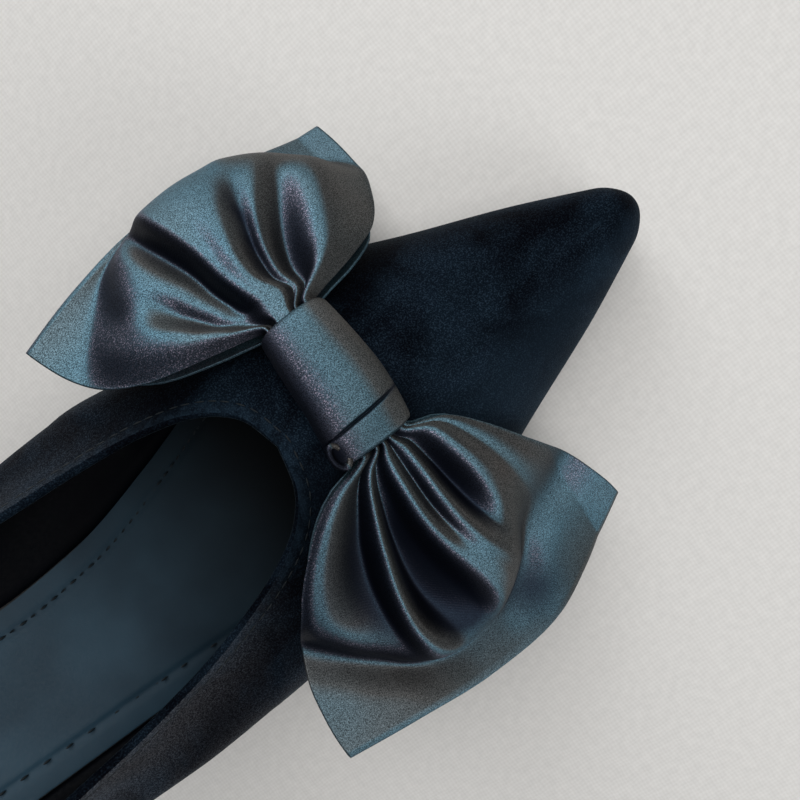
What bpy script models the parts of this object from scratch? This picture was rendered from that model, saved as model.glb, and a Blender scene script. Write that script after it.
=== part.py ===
"""High-heeled pump, right foot, with a ribbon bow on the vamp.

Millimetres are used in the tables and turned into metres when a mesh is made.
X runs from the heel's back to the toe, Y to the inner (big-toe) side, Z up; the floor is Z = 0.
The shoe is a set of separate solids: upper, insole, outsole, heel, heel top piece, two bow loops and a knot.
"""

import bpy
import bmesh
import numpy as np

MM = 0.001
LENGTH = 246.0
MIDDLE_X = 122.5
HEEL_ROUND = 26.0
TOE_ROUND = 7.0
GAP = 0.3
SOLE_THICK = 3.0
INSOLE_THICK = 2.6
INSOLE_INSET = 3.2
SOLE_INSET = 0.8
UPPER_THICK = 1.8
TOP_PIECE_THICK = 6.0
SATIN_THICK = 0.9
KNOT_THICK = 1.4
FLAT_ZONE = (165.0, 195.0)

# Bottom of the last: station x, underside height, half widths to the feather edge, how far the wall
# swells out past that edge on each side, and the share of the wall's height where it is widest.
BOTTOM_COLUMNS = ("x", "under", "inner", "outer", "inner_swell", "outer_swell", "swell_share")
BOTTOM = np.array((
    (0, 72.0, 23.0, 24.0, 2.5, 2.5, 0.45),
    (25, 70.0, 23.0, 24.0, 2.5, 2.5, 0.45),
    (45, 66.0, 22.0, 25.0, 5.0, 4.0, 0.45),
    (70, 55.0, 17.0, 27.0, 12.0, 7.0, 0.45),
    (90, 40.5, 14.5, 29.0, 18.0, 10.0, 0.47),
    (105, 29.0, 16.0, 30.5, 20.0, 10.5, 0.48),
    (125, 14.5, 22.5, 33.0, 15.0, 8.5, 0.46),
    (140, 6.0, 28.5, 35.0, 7.5, 6.0, 0.40),
    (155, 1.0, 33.0, 36.0, 3.6, 3.4, 0.34),
    (165, 0.0, 34.0, 35.5, 2.4, 2.4, 0.30),
    (185, 0.0, 31.0, 30.5, 2.0, 2.0, 0.28),
    (195, 0.0, 26.8, 26.3, 2.0, 2.0, 0.28),
    (205, 0.35, 22.2, 22.0, 2.0, 2.0, 0.28),
    (225, 2.6, 13.6, 13.6, 1.8, 1.8, 0.30),
    (240, 5.6, 7.6, 7.6, 1.5, 1.5, 0.30),
    (246, 7.0, 5.2, 5.2, 1.5, 1.5, 0.30),
))

# Crest line of the vamp from the throat to the toe.
RIDGE_COLUMNS = ("x", "y", "z")
RIDGE = np.array((
    (150, 3.5, 50.0),
    (165, 3.2, 47.0),
    (180, 2.6, 42.0),
    (195, 1.9, 36.5),
    (210, 1.1, 31.0),
    (225, 0.5, 26.5),
    (236, 0.1, 22.8),
    (246, 0.0, 18.0),
))

# Collar from the throat round to the heel's back; lean is the wall's tilt towards the middle, degrees.
COLLAR_COLUMNS = ("x", "inner", "outer", "z", "lean")
COLLAR = np.array((
    (165, 3.2, 3.2, 47.0, 90),
    (163, 10.5, -4.5, 46.8, 82),
    (158, 16.0, -11.0, 46.6, 72),
    (150, 20.0, -16.0, 47.0, 60),
    (138, 22.8, -20.5, 49.0, 46),
    (124, 24.2, -24.0, 53.5, 36),
    (108, 24.8, -26.0, 62.5, 28),
    (90, 25.0, -26.8, 76.0, 20),
    (70, 25.0, -26.8, 92.0, 12),
    (48, 24.2, -25.6, 107.5, 8),
    (27, 20.5, -21.8, 118.0, 8),
    (17, 16.4, -17.4, 122.2, 8.5),
    (11, 12.4, -13.2, 124.6, 9),
    (7.7, 8.6, -9.2, 125.7, 9.5),
    (5.6, 4.3, -4.6, 126.3, 10),
    (5.0, 0.0, 0.0, 126.5, 10),
))

# Heel from the seat (0) to the tip (1): back and front x, half width.
HEEL_COLUMNS = ("share", "back", "front", "half_width")
HEEL = np.array((
    (0.00, 1.2, 45.0, 23.0),
    (0.10, 2.6, 38.5, 19.5),
    (0.25, 5.2, 31.5, 14.8),
    (0.45, 8.0, 26.6, 10.4),
    (0.70, 10.2, 23.6, 7.2),
    (1.00, 11.5, 21.8, 5.4),
))

# The bow's own frame: its middle on the vamp, and the slope it lies at.
BOW_X, BOW_Y, BOW_Z = 180.2, 6.0, 42.2
BOW_SLOPE = np.radians(18.0)
KNOT_REACH = 12.0
KNOT_MIDDLE = 6.2

# Edges of each loop by distance from the bow's middle, measured towards the toe.
LOOP_EDGE_COLUMNS = ("reach", "heel_edge", "toe_edge")
LOOP_EDGES = {
    "inner": np.array((
        (8.5, -4.6, 4.6), (12.4, -5.4, 5.4), (16.0, -16.0, 16.0), (20.0, -28.0, 23.0), (26.0, -37.0, 27.0),
        (34.0, -43.0, 29.5), (45.0, -47.0, 30.5), (62.0, -49.0, 30.0))),
    "outer": np.array((
        (8.5, -4.6, 4.6), (12.4, -5.4, 5.4), (15.0, -13.0, 11.0), (19.0, -20.0, 15.5), (26.0, -29.0, 21.0),
        (34.0, -35.0, 25.5), (44.0, -40.0, 30.0), (55.0, -42.0, 33.5), (72.0, -42.0, 35.0))),
}
# Reach of the hem by place across the loop, from its heel edge (-1) to its toe edge (1).
HEM_COLUMNS = ("across", "inner", "outer")
HEM = np.array((
    (-1.0, 40.0, 58.5),
    (-0.6, 48.5, 63.5),
    (-0.2, 54.5, 67.5),
    (0.2, 57.5, 68.5),
    (0.6, 57.0, 66.0),
    (1.0, 53.5, 60.0),
))
# Side of the shoe, droop of the heel and toe edges (degrees), reach by which it is bent, how far it
# stands off the vamp, and fullness.
LOOP_SHAPE = {
    "inner": dict(side=1, heel_droop=14.0, toe_droop=30.0, bend=16.0, stand=2.3, puff=17.0),
    "outer": dict(side=-1, heel_droop=12.0, toe_droop=28.0, bend=28.0, stand=4.9, puff=17.0),
}
# Soft folds of each loop's front: place across it at the neck and at the hem (-1 heel edge, 1 toe edge),
# depth, width across, and how far out it runs.
FOLD_COLUMNS = ("neck", "hem", "depth", "width", "run")
FOLDS = {
    "inner": ((-0.10, -0.16, 4.5, 0.13, 0.95), (-0.22, -0.44, 2.6, 0.10, 0.70),
              (0.15, 0.42, 4.8, 0.13, 0.90), (0.40, 0.52, 2.4, 0.09, 0.70)),
    "outer": ((-0.22, -0.62, 3.8, 0.13, 0.65), (-0.05, -0.16, 4.8, 0.13, 0.90),
              (0.25, 0.13, 3.6, 0.11, 0.75), (0.50, 0.42, 3.6, 0.12, 0.80)),
}


def column(table, names, name):
    return table[:, names.index(name)]


def smooth_table(at, xs, ys):
    """Monotone cubic curve through the rows of a table."""
    at, xs, ys = (np.asarray(q, float) for q in (at, xs, ys))
    step = np.diff(xs)
    slope = np.diff(ys) / step
    w1, w2 = 2 * step[1:] + step[:-1], step[1:] + 2 * step[:-1]
    same = slope[:-1] * slope[1:] > 0
    low, high = np.where(same, slope[:-1], 1), np.where(same, slope[1:], 1)
    inner = np.where(same, (w1 + w2) / (w1 / low + w2 / high), 0)
    tangent = np.concatenate(([slope[0]], inner, [slope[-1]]))
    at = np.clip(at, xs[0], xs[-1])
    i = np.clip(np.searchsorted(xs, at, side="right") - 1, 0, len(xs) - 2)
    t = (at - xs[i]) / step[i]
    return ((1 + 2 * t) * (1 - t) ** 2 * ys[i] + t * (1 - t) ** 2 * step[i] * tangent[i]
            + t * t * (3 - 2 * t) * ys[i + 1] + t * t * (t - 1) * step[i] * tangent[i + 1])


def bottom(name, x):
    return smooth_table(x, BOTTOM[:, 0], column(BOTTOM, BOTTOM_COLUMNS, name))


def ridge(name, x):
    return smooth_table(x, RIDGE[:, 0], column(RIDGE, RIDGE_COLUMNS, name))


def side_name(side):
    return "inner" if side > 0 else "outer"


def outline(side, x):
    """Feather edge in plan, rounded off at the heel and at the toe."""
    heel, toe = np.clip(x / HEEL_ROUND, 0, 1), np.clip((LENGTH - x) / TOE_ROUND, 0, 1)
    return side * bottom(side_name(side), x) * np.sqrt(1 - (1 - heel) ** 2) * np.sqrt(1 - (1 - toe) ** 2)


def length_at(share):
    return LENGTH * (1 + np.cos(np.pi * np.asarray(share, float))) / 2


def bezier(points, t):
    weights = ((1 - t) ** 3, 3 * t * (1 - t) ** 2, 3 * t * t * (1 - t), t ** 3)
    return sum(w * p[:, None] for w, p in zip(weights, points))


def wall_stations(front, back):
    """Shares of the way from the toe to the heel, with a station exactly at the throat, closer together
    round the heel's back."""
    throat = np.arccos(2 * COLLAR[0, 0] / LENGTH - 1) / np.pi
    along = np.linspace(0, 1, back)[1:]
    behind = along + 0.09 * np.sin(np.pi * along) * along
    return np.concatenate((np.linspace(0, throat, front), throat + (1 - throat) * behind)), throat


def upper_wall(side, share, throat, height):
    """Outer face of one side: at each station a section rises from the feather edge, swells to its widest
    point and closes on the ridge (ahead of the throat) or on the collar (behind it)."""
    x = length_at(share)
    foot = np.stack((x, outline(side, x), bottom("under", x) + SOLE_THICK + GAP), 1)
    spine = x - 9 * np.exp(-(LENGTH - x) / 13.5)
    crest = np.stack((spine, ridge("y", spine), ridge("z", spine)), 1)
    rim = np.stack([column(COLLAR, COLLAR_COLUMNS, n) for n in ("x", side_name(side), "z")], 1)
    run = np.concatenate(([0], np.cumsum(np.linalg.norm(np.diff(rim, axis=0), axis=1))))
    along = np.clip((share - throat) / (1 - throat), 0, 1) * run[-1]
    top = np.stack([smooth_table(along, run, rim[:, k]) for k in range(3)], 1)
    lean = np.radians(smooth_table(along, run, column(COLLAR, COLLAR_COLUMNS, "lean")))
    front = share <= throat
    top[front], lean[front] = crest[front], np.radians(90)
    middle = np.where(x > LENGTH / 2, spine, x + 40 * np.exp(-x / 45))
    inward = np.zeros_like(foot)
    inward[:, 0] = middle - foot[:, 0]
    inward[:, 1] = ridge("y", spine) * np.clip((x - 60) / 90, 0, 1) - foot[:, 1]
    inward /= np.linalg.norm(inward, axis=1)[:, None]
    up = np.array((0, 0, 1.0))
    tall = (top - foot)[:, 2]
    part = bottom("swell_share", x)
    wide = foot - inward * bottom(side_name(side) + "_swell", x)[:, None] + up * (part * tall)[:, None]
    lie = inward * np.sin(lean)[:, None] + up * np.cos(lean)[:, None]
    span = np.linalg.norm(top - wide, axis=1)
    low = (foot, foot + 0.45 * (wide - foot), wide - up * (0.5 * part * tall)[:, None], wide)
    high = (wide, wide + up * (0.5 * (1 - part) * tall)[:, None], top - lie * (0.5 * span)[:, None], top)
    t = np.asarray(height, float)[None, :, None]
    return np.where(t < 0.3, bezier(low, t / 0.3), bezier(high, (t - 0.3) / 0.7))


def bow_place(reach, across, lift, shape):
    """Place in the shoe of a point of the bow: reach from its middle, across to the toe, lift off it."""
    droop, bend = shape["toe_droop"] - shape["heel_droop"], shape["bend"]
    tilt = np.radians(shape["heel_droop"] + droop * np.clip((across + 44) / 70, 0, 1))
    angle = tilt * np.minimum(reach, bend) / bend
    radius = bend / tilt
    rest = np.maximum(reach - bend, 0)
    out = radius * np.sin(angle) + rest * np.cos(angle) + lift * np.sin(angle)
    rise = lift * np.cos(angle) - radius * (1 - np.cos(angle)) - rest * np.sin(angle)
    x = BOW_X + across * np.cos(BOW_SLOPE) + rise * np.sin(BOW_SLOPE)
    z = BOW_Z - across * np.sin(BOW_SLOPE) + rise * np.cos(BOW_SLOPE)
    return np.stack((x, BOW_Y + shape["side"] * out, z), -1)


def fold_depth(name, share, across):
    """Sum of soft troughs, each fading in past the neck and out at its own run."""
    total = np.zeros(np.broadcast(share, across).shape)
    for neck, hem, depth, width, run in FOLDS[name]:
        line = neck + (hem - neck) * share
        fade = np.clip(share / 0.12, 0, 1) * np.clip((run - share) / (0.45 * run), 0, 1)
        total = total + depth * fade * fade * (3 - 2 * fade) * np.exp(-((across - line) / width) ** 2)
    return total


def loop_layer(name, share, across, front):
    """One layer of a loop: share runs from neck to hem, across from the heel edge to the toe edge."""
    shape, edges = LOOP_SHAPE[name], LOOP_EDGES[name]
    start = edges[0, 0]
    reach = start + (smooth_table(across, HEM[:, 0], column(HEM, HEM_COLUMNS, name)) - start) * share
    heel_edge = smooth_table(reach, edges[:, 0], edges[:, 1])
    toe_edge = smooth_table(reach, edges[:, 0], edges[:, 2])
    along = heel_edge + (toe_edge - heel_edge) * (across + 1) / 2
    free = np.clip((share - 0.08) / 0.92, 0, 1)
    swell = np.sin(np.pi * np.clip(free / 0.86, 0, 1) ** 0.75) ** 0.9 * (1 - np.abs(across) ** 2.4) ** 0.8
    full = shape["puff"] * swell
    fold = np.minimum(fold_depth(name, free, across), 0.6 * full)
    ends = np.sqrt(np.clip(share / 0.03, 0, 1) * np.clip((1 - share) / 0.03, 0, 1))
    stand = shape["stand"]
    base = stand + (KNOT_MIDDLE - stand) * np.clip(1 - (reach - 11) / 12, 0, 1) ** 2
    lift = 0.95 * ends + 0.82 * full - fold if front else -0.95 * ends - 0.18 * full
    return bow_place(reach, along, base + lift, shape)


def knot_ring(reach, turn):
    """Band section at one reach: a flattened ring round the necks, with a step for its pleat."""
    end = np.abs(reach / KNOT_REACH)
    half_wide = 8.9 - 0.5 * end ** 2
    half_tall = 5.6 - 0.8 * end ** 3
    step = 0.7 / (1 + np.exp(-(-reach - 4.5) / 0.6)) * np.clip(np.sin(turn) * 2, 0, 1)
    power = 0.62
    across = half_wide * np.sign(np.cos(turn)) * np.abs(np.cos(turn)) ** power
    lift = KNOT_MIDDLE + (half_tall + step) * np.sign(np.sin(turn)) * np.abs(np.sin(turn)) ** power
    return across, lift


def knot_points(reach, turn):
    """Band from the outer end (negative reach) to the inner end, bent with the loop on that side."""
    across, lift = knot_ring(reach[:, None], turn[None, :])
    places = {name: bow_place(np.abs(reach)[:, None] + 0 * turn, across, lift, LOOP_SHAPE[name])
              for name in LOOP_SHAPE}
    return np.where((reach > 0)[:, None, None], places["inner"], places["outer"])


def solid(name, points, faces, thickness, offset, colour, roughness):
    """Named object from a grid surface given in millimetres, thickened to a closed wall where asked."""
    mesh = bpy.data.meshes.new(name)
    mesh.from_pydata((np.asarray(points, float) * MM).tolist(), [], [list(map(int, f)) for f in faces])
    work = bmesh.new()
    work.from_mesh(mesh)
    bmesh.ops.remove_doubles(work, verts=work.verts, dist=0.00001)
    bmesh.ops.recalc_face_normals(work, faces=work.faces)
    work.to_mesh(mesh)
    work.free()
    mesh.polygons.foreach_set("use_smooth", [True] * len(mesh.polygons))
    material = bpy.data.materials.new(name + "_material")
    material.use_nodes = True
    shader = material.node_tree.nodes["Principled BSDF"]
    shader.inputs["Base Color"].default_value = (*colour, 1)
    shader.inputs["Roughness"].default_value = roughness
    shader.inputs["Metallic"].default_value = 0.0
    mesh.materials.append(material)
    thing = bpy.data.objects.new(name, mesh)
    SHOE.objects.link(thing)
    thing.parent = PARENT
    if thickness:
        shell = thing.modifiers.new("wall", "SOLIDIFY")
        shell.thickness = thickness * MM
        shell.offset = offset
        shell.use_even_offset = True
    return thing


def grid_faces(rows, columns, wrap=False):
    """Quads of a grid stored row by row; wrap closes it along its columns."""
    i, j = np.meshgrid(np.arange(rows - 1), np.arange(columns if wrap else columns - 1), indexing="ij")
    k = (j + 1) % columns
    here, there = i * columns, (i + 1) * columns
    return np.stack((here + j, there + j, there + k, here + k), -1).reshape(-1, 4)


def tidy_faces(faces, points):
    """Drop the corners of faces that fall on one point, as at the pointed ends of an outline."""
    kept = []
    for face in faces:
        ring = []
        for v in face:
            if all(np.linalg.norm(points[v] - points[w]) > 1e-4 for w in ring):
                ring.append(v)
        if len(ring) > 2:
            kept.append(ring)
    return kept


def strip_surface(x, inset, rise, columns):
    """Level strips across the last's bottom, from the outer edge to the inner edge at each station, the
    whole outline drawn in by the inset."""
    across = np.linspace(0, 1, columns)
    whole = (x - inset) * LENGTH / (LENGTH - 2 * inset)
    outer, inner = (outline(s, whole) * (1 - inset / bottom(side_name(s), whole)) for s in (-1, 1))
    y = outer[:, None] + (inner - outer)[:, None] * across
    z = bottom("under", x) + rise
    return np.stack((np.repeat(x[:, None], columns, 1), y, np.repeat(z[:, None], columns, 1)), -1)


def add_strip_solid(name, inset, rise, thickness, stations, colour, roughness):
    columns = 7
    x = inset + (LENGTH - 2 * inset) * length_at(np.linspace(0, 1, stations)) / LENGTH
    for flat_end in FLAT_ZONE:
        x[np.abs(x - flat_end).argmin()] = flat_end
    points = strip_surface(x, inset, rise, columns).reshape(-1, 3)
    thing = solid(name, points, tidy_faces(grid_faces(stations, columns), points), 0, 0, colour, roughness)
    return close_slab(thing, thickness)


def close_slab(thing, thickness):
    """Raise a sheet straight up into a slab of even height."""
    work = bmesh.new()
    work.from_mesh(thing.data)
    sheet = list(work.faces)
    raised = bmesh.ops.extrude_face_region(work, geom=sheet)
    for v in raised["geom"]:
        if isinstance(v, bmesh.types.BMVert):
            v.co.z += thickness * MM
    bmesh.ops.recalc_face_normals(work, faces=work.faces)
    work.to_mesh(thing.data)
    work.free()
    thing.data.polygons.foreach_set("use_smooth", [True] * len(thing.data.polygons))
    return thing


def add_upper():
    share, throat = wall_stations(16, 32)
    height = np.concatenate((np.linspace(0, 0.3, 5), np.linspace(0.3, 1, 8)[1:]))
    points, faces = [], []
    for side in (1, -1):
        wall = upper_wall(side, share, throat, height).reshape(-1, 3)
        faces.append(grid_faces(len(share), len(height)) + sum(len(p) for p in points))
        points.append(wall)
    points, faces = np.concatenate(points), np.concatenate(faces)
    return solid("upper", points, tidy_faces(faces, points), UPPER_THICK, -1, (0.012, 0.018, 0.026), 0.85)


def heel_rings(levels, stations):
    """Heel sections from the seat to the tip, each an outline that is round at the back and straight at
    the breast, seat rows following the sole's underside."""
    share = np.linspace(0, 1, levels) ** 1.3
    u = (1 - np.cos(np.pi * np.linspace(0, 1, stations))) / 2
    back, front, half = (smooth_table(share, HEEL[:, 0], HEEL[:, k])[:, None] for k in (1, 2, 3))
    x = back + (front - back) * u
    round_back = np.sqrt(1 - (1 - np.clip(u / 0.6, 0, 1)) ** 2)
    seat_x = HEEL[0, 1] + (HEEL[0, 2] - HEEL[0, 1]) * u
    blend = np.clip(share / 0.25, 0, 1)[:, None]
    sides = []
    seat_z = bottom("under", seat_x) - GAP
    tip_z = TOP_PIECE_THICK + GAP
    z = seat_z + (tip_z - seat_z) * share[:, None]
    for side in (1, -1):
        seat_y = side * (bottom(side_name(side), seat_x) - 1.4) * round_back
        y = (1 - blend) * seat_y * half / HEEL[0, 3] + blend * side * half * round_back
        sides.append(np.stack((x, y, z + 0 * x), -1))
    return sides


def add_heel():
    """Rings joined level by level, the breast side bridged straight across, both ends capped in strips."""
    levels, stations, across = 12, 12, 5
    inner, outer = heel_rings(levels, stations)
    t = np.linspace(0, 1, across)[None, None, :, None]
    points = (outer[:, :, None] * (1 - t) + inner[:, :, None] * t)
    index = np.arange(points[..., 0].size).reshape(points.shape[:3])
    faces = []
    for level in (0, levels - 1):
        sheet = index[level]
        faces += [(sheet[i, j], sheet[i + 1, j], sheet[i + 1, j + 1], sheet[i, j + 1])
                  for i in range(stations - 1) for j in range(across - 1)]
    ring = np.concatenate((index[:, :, 0], index[:, -1, 1:-1], index[:, ::-1, -1][:, :-1]), 1)
    count = ring.shape[1]
    faces += [(ring[i, j], ring[i + 1, j], ring[i + 1, (j + 1) % count], ring[i, (j + 1) % count])
              for i in range(levels - 1) for j in range(count)]
    flat = points.reshape(-1, 3)
    used = sorted({int(v) for f in faces for v in f})
    place = {v: k for k, v in enumerate(used)}
    faces = [tuple(place[int(v)] for v in f) for f in faces]
    solid("heel", flat[used], tidy_faces(faces, flat[used]), 0, 0, (0.012, 0.018, 0.026), 0.85)
    tip = points[-1].copy()
    tip[..., 2] = 0
    tip = tip.reshape(-1, 3)
    sheet = tidy_faces(grid_faces(stations, across), tip)
    piece = solid("heel_top_piece", tip, sheet, 0, 0, (0.01, 0.01, 0.011), 0.55)
    close_slab(piece, TOP_PIECE_THICK)


def add_loop(name):
    """A ring of ribbon: the back layer out to the hem, the front layer home again, open at both edges."""
    share = (1 - np.cos(np.pi * np.linspace(0, 1, 15))) / 2
    across = np.linspace(-1, 1, 21)[:, None]
    back = loop_layer(name, share[None, :-1], across, False)
    front = loop_layer(name, share[None, ::-1][:, :-1], across, True)
    ring = np.concatenate((back, front), 1)
    rows, columns = ring.shape[:2]
    return solid("bow_loop_" + name, ring.reshape(-1, 3), grid_faces(rows, columns, True), SATIN_THICK, 0,
                 (0.045, 0.085, 0.105), 0.38)


def add_knot():
    reach = np.linspace(-KNOT_REACH, KNOT_REACH, 12)
    turn = np.linspace(0, 2 * np.pi, 25)[:-1]
    points = knot_points(reach, turn)
    return solid("bow_knot", points.reshape(-1, 3), grid_faces(len(reach), len(turn), True), KNOT_THICK, -1,
                 (0.045, 0.085, 0.105), 0.38)


for leftover in list(bpy.data.objects):
    bpy.data.objects.remove(leftover, do_unlink=True)
SHOE = bpy.data.collections.new("high_heeled_pump")
bpy.context.scene.collection.children.link(SHOE)
PARENT = bpy.data.objects.new("high_heeled_pump", None)
PARENT.location = (-MIDDLE_X * MM, 0, 0)
SHOE.objects.link(PARENT)

add_strip_solid("outsole", SOLE_INSET, 0.0, SOLE_THICK, 57, (0.012, 0.012, 0.013), 0.5)
add_strip_solid("insole", INSOLE_INSET, SOLE_THICK + GAP, INSOLE_THICK, 53, (0.03, 0.05, 0.062), 0.45)
add_heel()
add_upper()
for loop in LOOP_SHAPE:
    add_loop(loop)
add_knot()
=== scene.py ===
import bmesh
import bpy
import numpy as np
from mathutils import Matrix


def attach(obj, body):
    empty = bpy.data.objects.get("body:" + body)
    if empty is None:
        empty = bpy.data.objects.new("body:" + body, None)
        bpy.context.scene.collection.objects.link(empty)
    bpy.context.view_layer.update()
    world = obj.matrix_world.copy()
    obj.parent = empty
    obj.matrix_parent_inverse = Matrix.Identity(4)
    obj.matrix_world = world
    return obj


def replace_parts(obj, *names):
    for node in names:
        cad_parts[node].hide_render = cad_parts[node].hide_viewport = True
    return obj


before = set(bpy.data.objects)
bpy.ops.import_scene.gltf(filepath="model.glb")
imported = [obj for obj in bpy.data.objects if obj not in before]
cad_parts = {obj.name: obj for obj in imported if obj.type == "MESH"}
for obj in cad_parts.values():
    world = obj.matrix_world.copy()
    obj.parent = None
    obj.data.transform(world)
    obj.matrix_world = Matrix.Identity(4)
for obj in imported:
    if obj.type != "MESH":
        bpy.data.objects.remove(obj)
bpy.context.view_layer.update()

# Shoe tables in millimetres: X from the heel's back to the toe, Y to the inner (big-toe) side, Z up.
MM = 0.001
LENGTH = 246.0
MIDDLE_X = 122.5
HEEL_ROUND = 26.0
TOE_ROUND = 5.0
TOE_FULLNESS = 0.44
GAP = 0.3
SOLE_THICK = 3.0
INSOLE_THICK = 2.6
INSOLE_INSET = 3.2
SOLE_INSET = 0.8
UPPER_THICK = 1.8
TOP_PIECE_THICK = 6.0
SATIN_THICK = 0.5
KNOT_THICK = 0.9

# Bottom of the last: station x, underside height, half widths to the feather edge, how far the wall swells
# out past that edge on each side, and the share of the wall's height where it is widest.
BOTTOM_COLUMNS = ("x", "under", "inner", "outer", "inner_swell", "outer_swell", "swell_share")
BOTTOM = np.array((
    (0, 72.0, 23.0, 24.0, 2.5, 2.5, 0.45),
    (25, 70.0, 23.0, 24.0, 2.5, 2.5, 0.45),
    (45, 66.0, 22.0, 25.0, 5.0, 4.0, 0.45),
    (70, 55.0, 17.0, 27.0, 12.0, 7.0, 0.45),
    (90, 40.5, 14.5, 29.0, 18.0, 10.0, 0.47),
    (105, 29.0, 16.0, 30.5, 20.0, 10.5, 0.48),
    (125, 14.5, 22.5, 33.0, 15.0, 8.5, 0.46),
    (140, 6.0, 28.5, 35.0, 7.5, 6.0, 0.40),
    (155, 1.0, 33.0, 36.0, 3.6, 3.4, 0.34),
    (165, 0.0, 34.0, 35.5, 2.4, 2.4, 0.30),
    (185, 0.0, 31.0, 30.5, 2.0, 2.0, 0.28),
    (195, 0.0, 26.8, 26.3, 2.0, 2.0, 0.28),
    (205, 0.35, 22.2, 22.0, 2.0, 2.0, 0.28),
    (225, 2.6, 13.6, 13.6, 1.8, 1.8, 0.30),
    (240, 5.6, 6.5, 6.5, 1.4, 1.4, 0.30),
    (246, 7.0, 4.0, 4.0, 1.0, 1.0, 0.30),
))
# Crest line of the vamp from the throat to the toe.
RIDGE_COLUMNS = ("x", "y", "z")
RIDGE = np.array((
    (150, 3.5, 50.0),
    (165, 3.2, 47.0),
    (180, 2.6, 42.0),
    (195, 1.9, 36.5),
    (210, 1.1, 31.0),
    (225, 0.5, 26.5),
    (236, 0.1, 22.8),
    (246, 0.0, 18.0),
))
# Collar from the throat round to the heel's back; lean is the wall's tilt towards the middle, degrees.
COLLAR_COLUMNS = ("x", "inner", "outer", "z", "lean")
COLLAR = np.array((
    (165, 3.2, 3.2, 47.0, 90),
    (163, 10.5, -4.5, 46.8, 82),
    (158, 16.0, -11.0, 46.6, 72),
    (150, 20.0, -16.0, 47.0, 60),
    (138, 22.8, -20.5, 49.0, 46),
    (124, 24.2, -24.0, 53.5, 36),
    (108, 24.8, -26.0, 62.5, 28),
    (90, 25.0, -26.8, 76.0, 20),
    (70, 25.0, -26.8, 92.0, 12),
    (48, 24.2, -25.6, 107.5, 8),
    (27, 20.5, -21.8, 118.0, 8),
    (17, 16.4, -17.4, 122.2, 8.5),
    (11, 12.4, -13.2, 124.6, 9),
    (7.7, 8.6, -9.2, 125.7, 9.5),
    (5.6, 4.3, -4.6, 126.3, 10),
    (5.0, 0.0, 0.0, 126.5, 10),
))
# Heel from the seat (0) to the tip (1): back and front x, half width.
HEEL_COLUMNS = ("share", "back", "front", "half_width")
HEEL = np.array((
    (0.00, 1.2, 45.0, 23.0),
    (0.10, 2.6, 38.5, 19.5),
    (0.25, 5.2, 31.5, 14.8),
    (0.45, 8.0, 26.6, 10.4),
    (0.70, 10.2, 23.6, 7.2),
    (1.00, 11.5, 21.8, 5.4),
))
# The bow's own frame: its middle on the vamp and the slope it lies at; then the knot's half length, the
# height of its middle, its half width and half height, how square its ring is, and where its pleat runs.
BOW_X, BOW_Y, BOW_Z = 180.2, 6.0, 42.2
BOW_SLOPE = np.radians(18.0)
KNOT_REACH = 12.0
KNOT_MIDDLE = 6.2
KNOT_HALF_WIDE = 8.3
KNOT_HALF_TALL = 5.6
KNOT_SQUARE = 0.78
PLEAT_REACH = -7.0
# The band's rolled end: its place by the bow's middle, its half widths, height, and the angle it starts from.
CURL_REACH, CURL_ACROSS, CURL_LIFT = 9.0, -7.9, 6.4
CURL_HALF_REACH, CURL_HALF_ACROSS = 3.0, 2.2
CURL_TALL = 5.0
CURL_START = 0.6
# Edges of each loop: distance from the bow's middle, then heel edge and toe edge, measured towards the toe.
LOOP_EDGES = {
    "inner": np.array((
        (8.5, -4.6, 4.6), (12.4, -5.4, 5.4), (16.0, -17.0, 17.2), (20.0, -28.6, 24.3), (26.0, -36.8, 28.3),
        (34.0, -41.5, 30.9), (45.0, -44.6, 31.4), (62.0, -46.5, 30.3))),
    "outer": np.array((
        (8.5, -4.6, 4.6), (12.4, -5.4, 5.4), (15.0, -14.5, 12.0), (19.0, -21.5, 16.4), (26.0, -29.2, 21.8),
        (34.0, -34.6, 26.6), (44.0, -38.9, 31.3), (55.0, -40.5, 34.5), (72.0, -40.6, 36.0))),
}
# Reach of the hem by place across the loop, from its heel edge (-1) to its toe edge (1).
HEM_COLUMNS = ("across", "inner", "outer")
HEM = np.array((
    (-1.0, 40.0, 57.2),
    (-0.6, 46.5, 61.6),
    (-0.2, 51.9, 65.9),
    (0.2, 55.0, 68.0),
    (0.6, 54.6, 64.6),
    (0.8, 54.0, 61.2),
    (1.0, 53.5, 56.2),
))
# Side of the shoe, droop of the heel and toe edges (degrees), reach by which a loop is bent, how far it
# stands off the vamp, how softly its front lands at the heel and toe edges, upturn of the hem, sag behind the
# landing, and how strong the painted shade is in the valleys and along the landing.
LOOP_SHAPE = {
    "inner": dict(side=1, heel_droop=14.0, toe_droop=30.0, bend=16.0, stand=2.3, soft_heel=1.0, soft_toe=0.3,
                  lip=0.8, sag=0.0, deep=0.75, rim_shade=0.0),
    "outer": dict(side=-1, heel_droop=12.0, toe_droop=28.0, bend=28.0, stand=4.9, soft_heel=0.0, soft_toe=1.0,
                  lip=2.6, sag=1.6, deep=0.92, rim_shade=0.35),
}
# Share of each loop's length where its puffed front comes down on the flat border, by place across it.
RIM_COLUMNS = ("across", "inner", "outer")
RIM = np.array((
    (-1.0, 0.58, 0.50),
    (-0.81, 0.70, 0.59),
    (-0.62, 0.82, 0.70),
    (-0.42, 0.93, 0.81),
    (-0.22, 0.97, 0.84),
    (0.0, 0.98, 0.82),
    (0.15, 0.98, 0.77),
    (0.34, 0.98, 0.69),
    (0.49, 0.96, 0.62),
    (0.65, 0.90, 0.60),
    (0.8, 0.77, 0.60),
    (1.0, 0.58, 0.60),
))
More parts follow.
